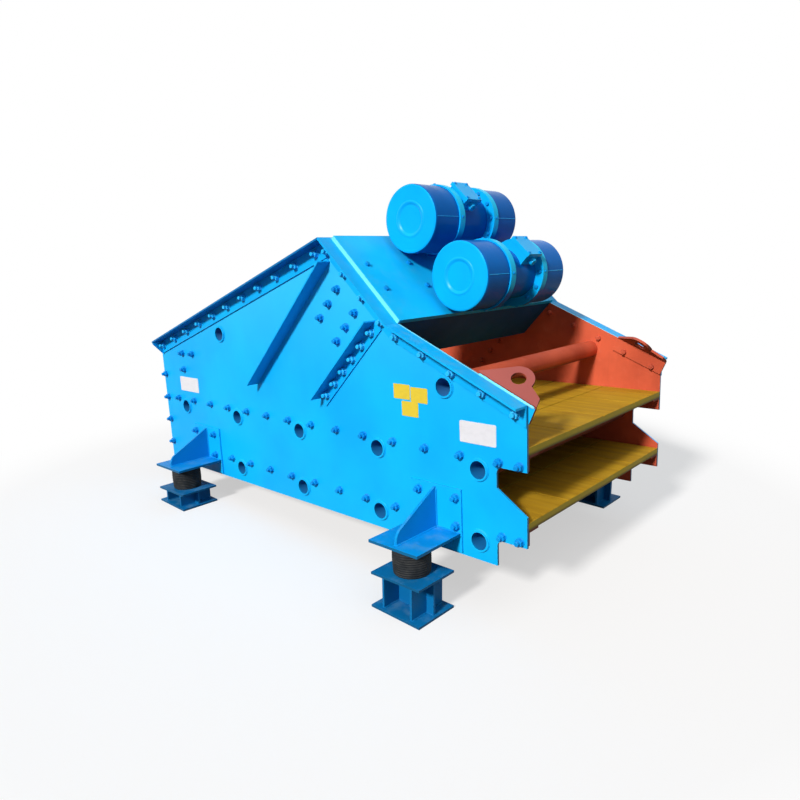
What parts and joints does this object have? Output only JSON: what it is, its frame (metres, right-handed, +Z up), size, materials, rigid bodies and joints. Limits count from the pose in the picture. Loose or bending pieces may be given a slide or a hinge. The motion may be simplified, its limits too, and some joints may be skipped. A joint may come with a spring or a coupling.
{
  "type": "double-deck linear vibrating screen",
  "caption": "Double-deck vibrating screen box with motors on an inclined plate, carried on rubber springs and pedestals, that sizes and dewaters bulk material.",
  "frame": {"origin": "middle of the footprint of the whole part, on the floor", "axes": "+X toward the discharge end, +Z up, the right side plate at -Y"},
  "size_m": [2.694, 1.812, 1.7393],
  "materials": {
    "blue_paint": "bright blue gloss paint with light dust",
    "red_oxide_primer": "matt red oxide primer",
    "ochre_polyurethane": "matt ochre polyurethane screen panels",
    "black_rubber": "dark grey matt rubber"
  },
  "bodies": {
    "base": {"spring_feed_right": "black_rubber", "spring_feed_left": "black_rubber", "spring_discharge_right": "black_rubber", "spring_discharge_left": "black_rubber", "pedestal_feed_right": "blue_paint", "pedestal_feed_left": "blue_paint", "pedestal_discharge_right": "blue_paint", "pedestal_discharge_left": "blue_paint"},
    "screen": {"side_plate_right": "blue_paint", "side_plate_left": "blue_paint", "feed_edge_angles": "blue_paint", "discharge_edge_angles": "blue_paint", "long_stiffeners": "blue_paint", "short_stiffeners": "blue_paint", "lifting_lug_right": "red_oxide_primer", "lifting_lug_left": "red_oxide_primer", "head_tube": "red_oxide_primer", "feed_tube": "red_oxide_primer", "upper_cross_tubes": "red_oxide_primer", "lower_cross_tubes": "red_oxide_primer", "upper_deck_rails": "red_oxide_primer", "lower_deck_rails": "red_oxide_primer", "upper_deck_stringers": "red_oxide_primer", "lower_deck_stringers": "red_oxide_primer", "upper_deck": "ochre_polyurethane", "lower_deck": "ochre_polyurethane", "feed_wall": "red_oxide_primer", "motor_plate": "blue_paint", "motor_beam": "blue_paint", "upper_motor_body": "blue_paint", "lower_motor_body": "blue_paint", "upper_motor_covers": "blue_paint", "lower_motor_covers": "blue_paint", "upper_terminal_box": "blue_paint", "lower_terminal_box": "blue_paint", "bracket_feed_right": "blue_paint", "bracket_feed_left": "blue_paint", "bracket_discharge_right": "blue_paint", "bracket_discharge_left": "blue_paint"}
  },
  "joints": [
    {"name": "screen_throw", "type": "slide", "parent": "base", "child": "screen", "axis": [0.6655, 0, 0.7464], "range_m": [-0.005, 0.005], "stiffness_N_per_m": 1200000, "springref_m": 0.01098, "deforming": ["spring_feed_right", "spring_feed_left", "spring_discharge_right", "spring_discharge_left"]}
  ]
}
